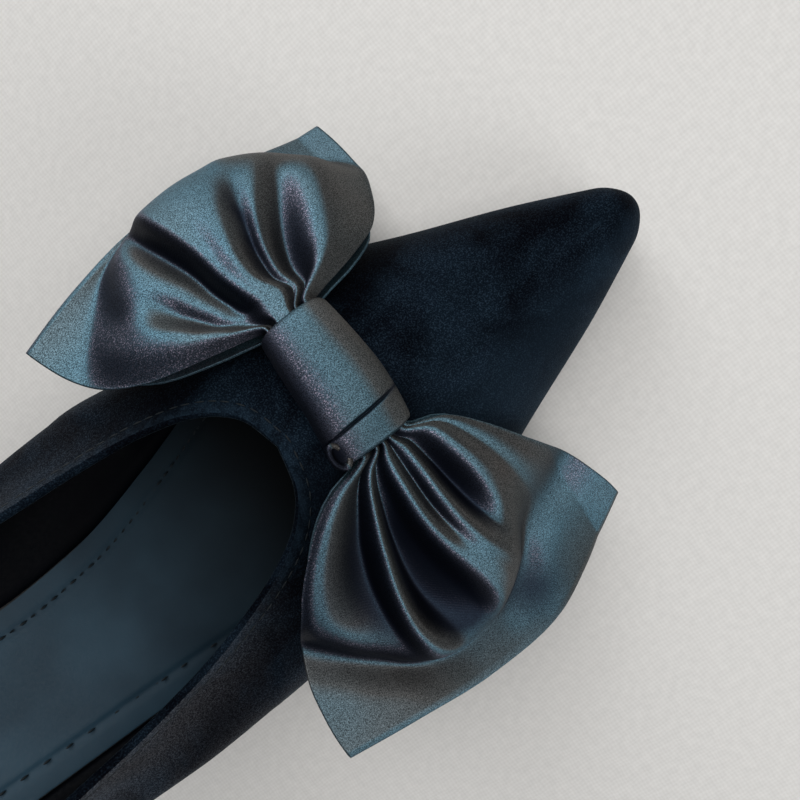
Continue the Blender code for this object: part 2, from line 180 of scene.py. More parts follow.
# Crests and valleys of each loop's front from its heel edge to its toe edge, each as rows of share along
# the loop, place across it (-1 heel edge, 1 toe edge) and height over the border.
RIBS = {
    "inner": (
        ("edge", ((0.0, -1.0, 0.3), (0.15, -1.0, 1.4), (0.4, -1.0, 1.8), (0.7, -1.0, 1.2), (1.0, -1.0, 0.3))),
        ("crest", ((0.03, -0.92, 0.8), (0.12, -0.86, 3.2), (0.22, -0.62, 5.2), (0.32, -0.55, 6.2),
                   (0.45, -0.60, 6.2), (0.58, -0.64, 5.6), (0.70, -0.64, 4.8), (0.85, -0.58, 4.2))),
        ("valley", ((0.03, -0.85, 0.5), (0.12, -0.76, 2.2), (0.22, -0.42, 3.4), (0.34, -0.34, 3.8),
                    (0.44, -0.36, 4.4), (0.52, -0.39, 5.2), (0.62, -0.43, 6.2), (0.85, -0.43, 5.2))),
        ("crest", ((0.03, -0.80, 0.7), (0.12, -0.69, 2.4), (0.22, -0.34, 4.0), (0.34, -0.25, 5.0),
                   (0.45, -0.25, 5.8), (0.59, -0.30, 6.4), (0.75, -0.34, 6.0), (0.90, -0.36, 5.6))),
        ("valley", ((0.03, -0.74, 0.4), (0.12, -0.58, 1.8), (0.20, -0.25, 3.0), (0.28, -0.15, 3.8),
                    (0.46, -0.12, 4.6), (0.65, -0.15, 4.6), (0.82, -0.19, 4.2), (0.90, -0.21, 4.6),
                    (1.0, -0.22, 5.6))),
        ("crest", ((0.03, -0.52, 1.4), (0.12, -0.38, 4.4), (0.20, -0.12, 7.2), (0.28, -0.05, 8.8),
                   (0.46, -0.02, 9.8), (0.65, -0.04, 10.2), (0.82, -0.08, 9.8), (1.0, -0.10, 8.6))),
        ("crest", ((0.03, 0.05, 1.6), (0.12, 0.10, 4.8), (0.23, 0.04, 8.2), (0.33, 0.08, 9.8),
                   (0.47, 0.13, 10.5), (0.60, 0.18, 10.8), (0.72, 0.24, 10.4), (1.0, 0.28, 9.0))),
        ("valley", ((0.03, 0.28, 0.5), (0.10, 0.27, 2.0), (0.23, 0.15, 4.4), (0.32, 0.18, 5.6),
                    (0.41, 0.22, 6.8), (0.57, 0.29, 9.0), (0.66, 0.34, 9.8), (0.78, 0.40, 10.2))),
        ("crest", ((0.03, 0.38, 0.8), (0.10, 0.34, 2.8), (0.23, 0.21, 5.6), (0.31, 0.25, 7.3),
                   (0.40, 0.29, 8.4), (0.49, 0.34, 9.4), (0.62, 0.44, 10.1), (0.78, 0.52, 10.2))),
        ("valley", ((0.03, 0.50, 0.4), (0.10, 0.44, 1.4), (0.19, 0.30, 2.6), (0.25, 0.29, 3.2),
                    (0.39, 0.36, 4.6), (0.51, 0.44, 6.4), (0.61, 0.53, 8.0), (0.70, 0.60, 9.2),
                    (0.82, 0.66, 9.6))),
        ("crest", ((0.03, 0.80, 0.8), (0.09, 0.76, 3.0), (0.15, 0.62, 5.2), (0.25, 0.61, 7.0),
                   (0.39, 0.66, 8.0), (0.53, 0.69, 8.6), (0.66, 0.73, 8.8), (0.82, 0.77, 8.8))),
        ("edge", ((0.0, 1.0, 0.3), (0.2, 1.0, 0.6), (0.6, 1.0, 0.6), (1.0, 1.0, 0.3))),
    ),
    "outer": (
        ("edge", ((0.0, -1.0, 0.3), (0.12, -1.0, 2.2), (0.25, -1.0, 4.4), (0.4, -1.0, 4.0),
                  (0.55, -1.0, 2.0), (0.7, -1.0, 0.8), (1.0, -1.0, 0.3))),
        ("crest", ((0.03, -0.80, 0.8), (0.12, -0.80, 3.6), (0.20, -0.86, 5.2), (0.33, -0.88, 5.6),
                   (0.45, -0.87, 5.0), (0.58, -0.82, 3.8), (0.80, -0.74, 3.0))),
        ("valley", ((0.03, -0.48, 0.3), (0.11, -0.44, 0.8), (0.20, -0.42, 1.0), (0.30, -0.45, 1.0),
                    (0.42, -0.46, 1.4), (0.54, -0.45, 2.4), (0.65, -0.43, 4.2), (0.74, -0.42, 6.2),
                    (0.82, -0.42, 7.0))),
        ("crest", ((0.03, -0.30, 1.0), (0.13, -0.29, 3.0), (0.22, -0.28, 4.6), (0.32, -0.30, 6.0),
                   (0.45, -0.33, 7.0), (0.57, -0.34, 7.6), (0.68, -0.33, 8.0), (0.80, -0.30, 8.2))),
        ("valley", ((0.03, -0.20, 0.3), (0.11, -0.21, 1.0), (0.21, -0.21, 1.2), (0.34, -0.23, 0.6),
                    (0.50, -0.25, 0.4), (0.60, -0.24, 1.0), (0.69, -0.21, 4.0), (0.78, -0.18, 7.8))),
        ("valley", ((0.03, -0.14, 0.4), (0.11, -0.14, 1.2), (0.21, -0.11, 1.8), (0.34, -0.09, 2.4),
                    (0.50, -0.06, 2.8), (0.60, -0.03, 3.8), (0.69, -0.02, 5.6), (0.78, -0.04, 8.2))),
        ("crest", ((0.03, -0.06, 1.0), (0.10, 0.0, 2.6), (0.19, 0.05, 4.8), (0.28, 0.06, 6.4),
                   (0.40, 0.09, 7.8), (0.51, 0.13, 8.4), (0.62, 0.15, 8.6), (0.80, 0.12, 8.4))),
        ("valley", ((0.03, 0.10, 0.4), (0.09, 0.12, 1.4), (0.19, 0.14, 2.4), (0.28, 0.14, 3.8),
                    (0.37, 0.16, 6.2), (0.45, 0.19, 8.2), (0.62, 0.22, 8.6), (0.80, 0.20, 8.2))),
        ("crest", ((0.03, 0.26, 0.9), (0.17, 0.28, 3.6), (0.26, 0.26, 5.6), (0.34, 0.25, 7.0),
                   (0.45, 0.27, 8.4), (0.62, 0.30, 8.3), (0.80, 0.28, 8.0))),
        ("valley", ((0.03, 0.42, 0.3), (0.08, 0.40, 0.7), (0.16, 0.38, 1.0), (0.27, 0.36, 1.4),
                    (0.37, 0.35, 3.2), (0.46, 0.36, 5.6), (0.55, 0.38, 7.2), (0.80, 0.38, 7.2))),
        ("crest", ((0.03, 0.78, 0.6), (0.10, 0.74, 2.2), (0.19, 0.66, 4.4), (0.30, 0.62, 5.2),
                   (0.43, 0.56, 6.0), (0.53, 0.50, 6.6), (0.80, 0.47, 6.4))),
        ("crest", ((0.03, 0.92, 0.3), (0.12, 0.90, 1.6), (0.24, 0.84, 3.0), (0.35, 0.79, 3.6),
                   (0.45, 0.73, 4.2), (0.55, 0.67, 4.4), (0.80, 0.62, 4.4))),
        ("edge", ((0.0, 1.0, 0.3), (0.15, 1.0, 1.4), (0.3, 1.0, 2.4), (0.5, 1.0, 2.4), (0.75, 1.0, 1.2),
                  (1.0, 1.0, 0.3))),
    ),
}
CREST_FLAT = 0.03
# How the loops' cloth behaves: rounds of softening, valley depth at which the painted shade is full, half the
# gap between the layers, the back's share of the front's fullness, how far the back is drawn in, where the
# neck opens, the share of the way to the border where the front starts to land, and the rounding of both
# ends.
SOFTEN_TIMES = 10
DEEP_AT = 4.6
HALF_GAP = 0.95
BACK_SLACK = 0.15
BACK_DRAWN_IN = 0.09
NECK_START = 11.0
NECK_RUN = 12.0
LANDING_START = 0.72
END_ROUND = 0.03
# Painted shade on the satin, in spots wider than a valley or lying on the border: rows of share along the
# loop, place across it, strength, spread along the loop and spread across it.
PAINTED_SHADES = {
    "inner": ((0.28, 0.17, 0.45, 0.09, 0.04), (0.40, 0.22, 0.70, 0.09, 0.045), (0.53, 0.27, 0.80, 0.10, 0.05),
              (0.66, 0.31, 0.45, 0.08, 0.055)),
    "outer": ((0.86, 0.28, 0.85, 0.10, 0.20), (0.62, -0.10, 0.45, 0.10, 0.12),
              (0.72, -0.06, 0.35, 0.07, 0.16), (0.34, -0.84, 0.45, 0.26, 0.15),
              (0.30, 0.36, 0.45, 0.14, 0.05)),
}

# The wall's inner aims: how far the crest's stations are pulled back at the toe, and how far ahead of a heel
# station its section is aimed, each with the length by which that fades; share of a section at its widest.
TOE_PULL = 9.0
TOE_PULL_FADE = 13.5
HEEL_AIM = 40.0
HEEL_AIM_FADE = 45.0
WIDE_AT = 0.3
# The bow's width over which its droop changes, and how far of it lies towards the heel.
DROOP_SPAN = 70.0
DROOP_START = 44.0

# Finishing sizes.
TUCK_IN = 2.6
TUCK_CLEAR = 0.08
TOE_CARRY = 1.3
EDGE_BAND = 2.3
BAND_RISE = 0.22
STITCH_GROOVE = 0.28
BEAD_RADIUS = 1.0
TOPLINE_STITCH = dict(long=1.9, pitch=2.6, radius=0.17)
SOCK_STITCH = dict(long=1.7, pitch=2.3, radius=0.26)
SOCK_STITCH_INSET = INSOLE_INSET + 5.0
SOCK_DISH = 1.0


def column(table, names, name):
    """One named column of a table."""
    return table[:, names.index(name)]


def smooth_table(at, xs, ys):
    """Monotone cubic curve through the rows of a table."""
    at, xs, ys = (np.asarray(q, float) for q in (at, xs, ys))
    step = np.diff(xs)
    slope = np.diff(ys) / step
    w1, w2 = 2 * step[1:] + step[:-1], step[1:] + 2 * step[:-1]
    same = slope[:-1] * slope[1:] > 0
    low, high = np.where(same, slope[:-1], 1), np.where(same, slope[1:], 1)
    inner = np.where(same, (w1 + w2) / (w1 / low + w2 / high), 0)
    tangent = np.concatenate(([slope[0]], inner, [slope[-1]]))
    at = np.clip(at, xs[0], xs[-1])
    i = np.clip(np.searchsorted(xs, at, side="right") - 1, 0, len(xs) - 2)
    t = (at - xs[i]) / step[i]
    return ((1 + 2 * t) * (1 - t) ** 2 * ys[i] + t * (1 - t) ** 2 * step[i] * tangent[i]
            + t * t * (3 - 2 * t) * ys[i + 1] + t * t * (t - 1) * step[i] * tangent[i + 1])


def soft_step(t):
    """Smooth rise from 0 to 1."""
    t = np.clip(t, 0, 1)
    return t * t * (3 - 2 * t)


def bottom(name, x):
    """One column of the last's bottom at station x."""
    return smooth_table(x, BOTTOM[:, 0], column(BOTTOM, BOTTOM_COLUMNS, name))


def ridge(name, x):
    """One column of the vamp's crest line at station x."""
    return smooth_table(x, RIDGE[:, 0], column(RIDGE, RIDGE_COLUMNS, name))


def side_name(side):
    """Name of the shoe's side, +1 inner and -1 outer."""
    return "inner" if side > 0 else "outer"


def outline(side, x):
    """Feather edge in plan: the half width times a quarter circle at the heel and a slightly fuller curve at
    the toe."""
    heel, toe = np.clip(x / HEEL_ROUND, 0, 1), np.clip((LENGTH - x) / TOE_ROUND, 0, 1)
    rounded = np.sqrt(1 - (1 - heel) ** 2) * (1 - (1 - toe) ** 2) ** TOE_FULLNESS
    return side * bottom(side_name(side), x) * rounded


def length_at(share):
    """Station x by share of the way from toe to heel, close together at both ends."""
    return LENGTH * (1 + np.cos(np.pi * np.asarray(share, float))) / 2


def bezier(points, t):
    """Cubic curve from four rows of control points."""
    weights = ((1 - t) ** 3, 3 * t * (1 - t) ** 2, 3 * t * t * (1 - t), t ** 3)
    return sum(w * p[:, None] for w, p in zip(weights, points))


THROAT = np.arccos(2 * COLLAR[0, 0] / LENGTH - 1) / np.pi


def rim_run(side):
    """Rows of the collar table on one side and the length run along them from the throat."""
    rim = np.stack([column(COLLAR, COLLAR_COLUMNS, n) for n in ("x", side_name(side), "z")], 1)
    return rim, np.concatenate(([0], np.cumsum(np.linalg.norm(np.diff(rim, axis=0), axis=1))))


def upper_wall(side, share, height):
    """Outer face of one side: at each station a section rises from the feather edge, swells to its widest
    point and closes on the ridge (ahead of the throat) or on the collar (behind it)."""
    x = length_at(share)
    foot = np.stack((x, outline(side, x), bottom("under", x) + SOLE_THICK + GAP), 1)
    spine = x - TOE_PULL * np.exp(-(LENGTH - x) / TOE_PULL_FADE)
    crest = np.stack((spine, ridge("y", spine), ridge("z", spine)), 1)
    rim, run = rim_run(side)
    along = np.clip((share - THROAT) / (1 - THROAT), 0, 1) * run[-1]
    top = np.stack([smooth_table(along, run, rim[:, k]) for k in range(3)], 1)
    lean = np.radians(smooth_table(along, run, column(COLLAR, COLLAR_COLUMNS, "lean")))
    front = share <= THROAT
    top[front], lean[front] = crest[front], np.radians(90)
    middle = np.where(x > LENGTH / 2, spine, x + HEEL_AIM * np.exp(-x / HEEL_AIM_FADE))
    inward = np.zeros_like(foot)
    inward[:, 0] = middle - foot[:, 0]
    inward[:, 1] = ridge("y", spine) * np.clip((x - 60) / 90, 0, 1) - foot[:, 1]
    inward /= np.linalg.norm(inward, axis=1)[:, None]
    up = np.array((0, 0, 1.0))
    tall = (top - foot)[:, 2]
    part = bottom("swell_share", x)
    wide = foot - inward * bottom(side_name(side) + "_swell", x)[:, None] + up * (part * tall)[:, None]
    lie = inward * np.sin(lean)[:, None] + up * np.cos(lean)[:, None]
    span = np.linalg.norm(top - wide, axis=1)
    low = (foot, foot + 0.45 * (wide - foot), wide - up * (0.5 * part * tall)[:, None], wide)
    high = (wide, wide + up * (0.5 * (1 - part) * tall)[:, None], top - lie * (0.5 * span)[:, None], top)
    t = np.asarray(height, float)[None, :, None]
    return np.where(t < WIDE_AT, bezier(low, t / WIDE_AT), bezier(high, (t - WIDE_AT) / (1 - WIDE_AT)))


def sole_outline(side, x, inset):
    """Half width at station x of the feather edge's outline drawn in all round by the inset."""
    whole = (x - inset) * LENGTH / (LENGTH - 2 * inset)
    return outline(side, whole) * (1 - inset / bottom(side_name(side), whole))


def sole_stations(count, inset):
    """Stations along an outline that is drawn in by the inset, close together at both ends."""
    return inset + (LENGTH - 2 * inset) * length_at(np.linspace(0, 1, count)) / LENGTH


def collar_curve(count):
    """Closed rim of the opening at even steps: throat, inner side, back, outer side and home."""
    halves = []
    for side in (1, -1):
        rim, run = rim_run(side)
        at = np.linspace(0, run[-1], 900)
        halves.append(np.stack([smooth_table(at, run, rim[:, k]) for k in range(3)], 1))
    whole = np.concatenate((halves[0][:-1], halves[1][::-1]))
    return even_steps(whole, count)


def even_steps(path, count):
    """A closed path, first point repeated at its end, cut into equal lengths; the last point is left off."""
    run = np.concatenate(([0], np.cumsum(np.linalg.norm(np.diff(path, axis=0), axis=1))))
    at = np.linspace(0, run[-1], count + 1)[:-1]
    return np.stack([np.interp(at, run, path[:, k]) for k in range(3)], 1)


def closed_tangents(path):
    """Unit direction of a closed path at each of its points."""
    step = np.roll(path, -1, 0) - np.roll(path, 1, 0)
    return step / np.linalg.norm(step, axis=1)[:, None]


def bow_place(reach, across, lift, shape):
    """Place in the shoe of a point of the bow: reach from its middle, across to the toe, lift off it.
    The reach is wrapped on an arc whose angle grows towards the toe edge, then runs on straight."""
    droop, bend = shape["toe_droop"] - shape["heel_droop"], shape["bend"]
    tilt = np.radians(shape["heel_droop"] + droop * np.clip((across + DROOP_START) / DROOP_SPAN, 0, 1))
    angle = tilt * np.minimum(reach, bend) / bend
    radius = bend / tilt
    rest = np.maximum(reach - bend, 0)
    out = radius * np.sin(angle) + rest * np.cos(angle) + lift * np.sin(angle)
    rise = lift * np.cos(angle) - radius * (1 - np.cos(angle)) - rest * np.sin(angle)
    x = BOW_X + across * np.cos(BOW_SLOPE) + rise * np.sin(BOW_SLOPE)
    z = BOW_Z - across * np.sin(BOW_SLOPE) + rise * np.cos(BOW_SLOPE)
    return np.stack((x, BOW_Y + shape["side"] * out, z), -1)


def soften(field, times):
    """A grid of heights in which each is blended with its neighbours, several times over."""
    for _ in range(times):
        wide = np.pad(field, 1, mode="edge")
        wide = wide[:-2] + 2 * wide[1:-1] + wide[2:]
        field = (wide[:, :-2] + 2 * wide[:, 1:-1] + wide[:, 2:]) / 16
    return field


def loop_heights(name, share, across):
    """Height of a loop's front over its border: at each share a smooth curve across the loop through its
    crests and valleys. The second grid is the curve through the crests alone."""
    share, across = np.ravel(share), np.ravel(across)
    lines = [np.array(rows) for kind, rows in RIBS[name]]
    crest = np.array([kind == "crest" for kind, rows in RIBS[name]])
    low = np.array([kind == "valley" for kind, rows in RIBS[name]])
    at = np.stack([smooth_table(share, rows[:, 0], rows[:, 1]) for rows in lines])
    high = np.stack([smooth_table(share, rows[:, 0], rows[:, 2]) for rows in lines])
    room = np.minimum(np.diff(at, axis=0, prepend=-2), np.diff(at, axis=0, append=2))
    flat = np.minimum(CREST_FLAT, 0.3 * room) * crest[:, None]
    twice = np.stack((at - flat, at + flat), 1).reshape(-1, len(share))
    keep = np.stack((crest, np.ones(len(crest), bool)), 1).ravel()
    top = np.stack((crest, ~low), 1).ravel()
    highs = np.repeat(high, 2, 0)
    whole = [smooth_table(across, twice[keep, k], highs[keep, k]) for k in range(len(share))]
    tops = [smooth_table(across, twice[top, k], highs[top, k]) for k in range(len(share))]
    return np.stack(whole, 1), np.stack(tops, 1)


def loop_layer(name, share, across, front):
    """One layer of a loop: share runs from neck to hem, across from the heel edge to the toe edge. The front
    rises in crests and valleys and comes down on a flat border that both layers share at the hem."""
    shape, edges = LOOP_SHAPE[name], LOOP_EDGES[name]
    start = edges[0, 0]
    reach = start + (smooth_table(across, HEM[:, 0], column(HEM, HEM_COLUMNS, name)) - start) * share
    heel_edge = smooth_table(reach, edges[:, 0], edges[:, 1])
    toe_edge = smooth_table(reach, edges[:, 0], edges[:, 2])
    drawn_in = 0 if front else BACK_DRAWN_IN * np.sin(np.pi * share)
    along = heel_edge + (toe_edge - heel_edge) * (across * (1 - drawn_in) + 1) / 2
    border = smooth_table(across, RIM[:, 0], column(RIM, RIM_COLUMNS, name))
    soft = (shape["soft_heel"] * soft_step((-0.2 - across) / 0.5)
            + shape["soft_toe"] * soft_step((across - 0.3) / 0.4))
    early = LANDING_START - 0.4 * soft
    fall = np.clip((share / border - early) / (1 - early), 0, 1)
    landing = (1 - fall ** (2.6 - 0.4 * soft)) ** (0.5 + 0.7 * soft)
    heights, tops = loop_heights(name, share, across)
    height = soften(heights * landing, SOFTEN_TIMES)
    depth = np.clip(tops * landing - height, 0, None)
    ends = np.sqrt(np.clip(share / END_ROUND, 0, 1) * np.clip((1 - share) / END_ROUND, 0, 1))
    stand = shape["stand"]
    base = stand + (KNOT_MIDDLE - stand) * np.clip(1 - (reach - NECK_START) / NECK_RUN, 0, 1) ** 2
    upturn = np.clip((share - border) / (1 - border), 0, 1) ** 2 * soft_step((0.9 - across) / 0.6)
    dip = np.exp(-((share - border - 0.05) / 0.09) ** 2) * soft_step((1 - share) / 0.2)
    base = base + shape["lip"] * upturn - shape["sag"] * dip
    lift = HALF_GAP * ends + height if front else -HALF_GAP * ends - BACK_SLACK * height
    place = bow_place(reach, along, base + lift, shape)
    cloth = np.stack((reach + 0 * along, along + 0 * reach), -1)
    # Painted shade: darker in the valleys, along the landing and in the listed spots; none on the back layer.
    shade = shape["deep"] * soft_step(depth / DEEP_AT)
    shade = shade + shape["rim_shade"] * np.exp(-((share - border) / 0.085) ** 2)
    for middle, at, strength, long, wide in PAINTED_SHADES[name]:
        shade = shade + strength * np.exp(-((share - middle) / long) ** 2 - ((across - at) / wide) ** 2)
    return place, cloth, np.broadcast_to(np.minimum(shade, 0.95) if front else 0 * depth, place.shape[:-1])


def knot_points(reach, turn):
    """Band round the necks from the outer end (negative reach) to the inner end: a flattened ring at each
    reach, narrower at the inner end, with a step and a thin groove on top for the band's pleat."""
    at, ring = reach[:, None], turn[None, :]
    end = np.abs(at / KNOT_REACH)
    half_wide = KNOT_HALF_WIDE - 0.7 * at / KNOT_REACH - 0.4 * end ** 2
    half_tall = KNOT_HALF_TALL - 0.8 * end ** 3
    turned_in = 1 - np.sqrt(1 - np.clip(np.abs(at) - KNOT_REACH + 1, 0, 1) ** 2)
    half_wide, half_tall = half_wide - turned_in, half_tall - turned_in
    top = np.clip(np.sin(ring) * 2.2 + 0.5, 0, 1)
    pleat = PLEAT_REACH + 0.7 * np.cos(ring)
    groove = 0.7 * np.exp(-((at - pleat - 0.3) / 0.26) ** 2)
    step = (0.25 / (1 + np.exp((at - pleat) / 0.2)) - groove) * top
    across = half_wide * np.sign(np.cos(ring)) * np.abs(np.cos(ring)) ** KNOT_SQUARE
    across = across - 1.6 * np.clip(-at / KNOT_REACH, 0, 1) ** 1.5
    lift = KNOT_MIDDLE + (half_tall + step) * np.sign(np.sin(ring)) * np.abs(np.sin(ring)) ** KNOT_SQUARE
    places = {name: bow_place(np.abs(at) + 0 * ring, across, lift, LOOP_SHAPE[name]) for name in LOOP_SHAPE}
    return np.where((at > 0)[..., None], places["inner"], places["outer"])


def knot_curl(turn, rise):
    """End of the band rolled up beside its outer, heel-side corner: an open oval that tightens as it turns
    and widens as it rises."""
    at, up = turn[:, None] + CURL_START, rise[None, :]
    wide = (1 - 0.35 * turn[:, None] / turn.max()) * (0.75 + 0.25 * up)
    reach = CURL_REACH + CURL_HALF_REACH * wide * np.sin(at) + 0.4 * up
    across = CURL_ACROSS + CURL_HALF_ACROSS * wide * np.cos(at)
    lift = CURL_LIFT + (CURL_TALL - 0.7 * np.cos(at)) * up
    return bow_place(reach, across, lift, LOOP_SHAPE["outer"])


def grid_faces(rows, columns, wrap=False):
    """Quads of a grid stored row by row; wrap closes it along its columns."""
    i, j = np.meshgrid(np.arange(rows - 1), np.arange(columns if wrap else columns - 1), indexing="ij")
    k = (j + 1) % columns
    here, there = i * columns, (i + 1) * columns
    return np.stack((here + j, there + j, there + k, here + k), -1).reshape(-1, 4)


def put_piece(name, points, faces, materials, cloth=None, fields=None):
    """Mesh object from rows of millimetre points and rows of quads, doubles merged, riding on the shoe."""
    mesh = bpy.data.meshes.new(name)
    place = (np.asarray(points, float).reshape(-1, 3) - (MIDDLE_X, 0, 0)) * MM
    corners = np.asarray(faces, np.int32)
    mesh.vertices.add(len(place))
    mesh.vertices.foreach_set("co", place.astype(np.float32).ravel())
    mesh.loops.add(corners.size)
    mesh.loops.foreach_set("vertex_index", corners.ravel())
    mesh.polygons.add(len(corners))
    mesh.polygons.foreach_set("loop_start", np.arange(0, corners.size, corners.shape[1], dtype=np.int32))
    mesh.update(calc_edges=True)
    if cloth is not None:
        layer = mesh.uv_layers.new(name="cloth")
        layer.data.foreach_set("uv", cloth.reshape(-1, 2)[corners.ravel()].astype(np.float32).ravel())
    for field, values in (fields or {}).items():
        layer = mesh.attributes.new(field, "FLOAT", "POINT")
        layer.data.foreach_set("value", values.astype(np.float32).ravel())
    work = bmesh.new()
    work.from_mesh(mesh)
    bmesh.ops.remove_doubles(work, verts=work.verts, dist=0.000002)
    work.to_mesh(mesh)
    work.free()
    mesh.shade_smooth()
    for material in materials:
        mesh.materials.append(material)
    piece = bpy.data.objects.new(name, mesh)
    bpy.context.scene.collection.objects.link(piece)
    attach(piece, "root")
    return piece


def thicken(piece, thickness, offset, inside=0):
    """Wall of even thickness in millimetres on a surface; inside shifts its inner face's material slot."""
    shell = piece.modifiers.new("wall", "SOLIDIFY")
    shell.thickness = thickness * MM
    shell.offset = offset
    shell.use_even_offset = True
    shell.material_offset = inside
    return piece


def round_edges(piece, width, segments):
    """Bevel on the edges that turn sharply, width in millimetres."""
    bevel = piece.modifiers.new("edge", "BEVEL")
    bevel.width = width * MM
    bevel.segments = segments
    bevel.limit_method = "ANGLE"
    bevel.angle_limit = np.radians(50)
    return piece


def mesh_arrays(piece):
    """Points of a piece in shoe millimetres, and their unit normals."""
    mesh = piece.data
    place = np.zeros(len(mesh.vertices) * 3, np.float32)
    facing = np.zeros(len(mesh.vertices) * 3, np.float32)
    mesh.vertices.foreach_get("co", place)
    mesh.vertex_normals.foreach_get("vector", facing)
    points = place.reshape(-1, 3).astype(float) / MM + (MIDDLE_X, 0, 0)
    return points, facing.reshape(-1, 3).astype(float)


def set_points(piece, points):
    """Move a piece's points, given in shoe millimetres."""
    place = (points - (MIDDLE_X, 0, 0)) * MM
    piece.data.vertices.foreach_set("co", place.astype(np.float32).ravel())
    piece.data.update()


def nearest(points, others):
    """Index of the closest of the others to each point, and its distance, worked out in blocks."""
    index, distance = [], []
    for block in np.array_split(points, max(1, len(points) // 2000)):
        gap = np.linalg.norm(block[:, None] - others[None], axis=2)
        index.append(gap.argmin(1))
        distance.append(gap.min(1))
    return np.concatenate(index), np.concatenate(distance)


def tube(path, side, up, wide, tall, count):
    """Ring of an ellipse carried along a closed path on its two cross directions."""
    turn = np.linspace(0, 2 * np.pi, count + 1)[:-1]
    ring = (path[:, None] + side[:, None] * (wide * np.cos(turn))[None, :, None]
            + up[:, None] * (tall * np.sin(turn))[None, :, None])
    return np.concatenate((ring, ring[:1]))


def stitches(path, facing, long, pitch, radius):
    """Row of separate stitches on a closed path: each one a spindle, a circle whose radius follows half a
    sine along the stitch, centred at every pitch."""
    length = np.linalg.norm(np.diff(np.concatenate((path, path[:1])), axis=0), axis=1).sum()
    spots = np.linspace(0, len(path), int(length / pitch) + 1)[:-1].astype(int)
    centre, along, up = path[spots], closed_tangents(path)[spots], facing[spots]
    side = np.cross(along, up)
    t = np.linspace(0, 1, 6)
    turn = np.linspace(0, 2 * np.pi, 7)
    thick = radius * np.sin(np.pi * np.clip(t, 0.02, 0.98)) ** 0.5
    shift = along[:, None] * ((t - 0.5) * long)[None, :, None]
    ring = (side[:, None, None] * np.cos(turn)[None, None, :, None]
            + up[:, None, None] * np.sin(turn)[None, None, :, None])
    points = (centre[:, None] + shift)[:, :, None] + ring * thick[None, :, None, None]
    one = grid_faces(len(t), len(turn))
    count = len(t) * len(turn)
    faces = (one[None] + (np.arange(len(spots)) * count)[:, None, None]).reshape(-1, 4)
    return points.reshape(-1, 3), faces


def finish_material(name, colour, roughness, specular):
    """Principled material with its constants set on the shader's own sockets."""
    material = bpy.data.materials.new(name)
    material.use_nodes = True
    tree = material.node_tree
    shader = tree.nodes["Principled BSDF"]
    shader.inputs["Base Color"].default_value = (*colour, 1)
    shader.inputs["Roughness"].default_value = roughness
    shader.inputs["Specular IOR Level"].default_value = specular
    return material, tree, shader


def add_node(tree, kind, inputs=None, **settings):
    """Node of a kind, with plain values or links by socket name."""
    made = tree.nodes.new(kind)
    for setting, value in settings.items():
        setattr(made, setting, value)
    for socket, value in (inputs or {}).items():
        if isinstance(value, bpy.types.NodeSocket):
            tree.links.new(value, made.inputs[socket])
        else:
            made.inputs[socket].default_value = value
    return made


def grain(tree, where, size, detail=2.0, distortion=0.0):
    """Noise whose patches are about the given size in millimetres."""
    return add_node(tree, "ShaderNodeTexNoise", {
        "Vector": where, "Scale": 1 / (size * MM), "Detail": detail, "Distortion": distortion}).outputs["Fac"]


def ramp(tree, factor, low, high, low_at, high_at):
    """Blend of two colours between two values of a factor."""
    made = add_node(tree, "ShaderNodeValToRGB", {"Fac": factor})
    first, last = made.color_ramp.elements
    first.position, last.position = low_at, high_at
    first.color, last.color = (*low, 1), (*high, 1)
    return made.outputs["Color"]


def blend(tree, factor, first, second, mode="MIX"):
    """Two colours mixed by a factor."""
    made = add_node(tree, "ShaderNodeMix", data_type="RGBA", blend_type=mode)
    for socket, value in (("Factor", factor), ("A", first), ("B", second)):
        target = next(s for s in made.inputs if s.name == socket and s.enabled)
        if isinstance(value, bpy.types.NodeSocket):
            tree.links.new(value, target)
        else:
            target.default_value = value if socket == "Factor" else (*value, 1)
    return next(s for s in made.outputs if s.enabled)


def bump(tree, shader, heights):
    """Chain of bumps: each row is a height, its strength and its depth in millimetres."""
    normal = None
    for height, strength, depth in heights:
        inputs = {"Height": height, "Strength": strength, "Distance": depth * MM}
        if normal is not None:
            inputs["Normal"] = normal
        normal = add_node(tree, "ShaderNodeBump", inputs).outputs["Normal"]
    tree.links.new(normal, shader.inputs["Normal"])


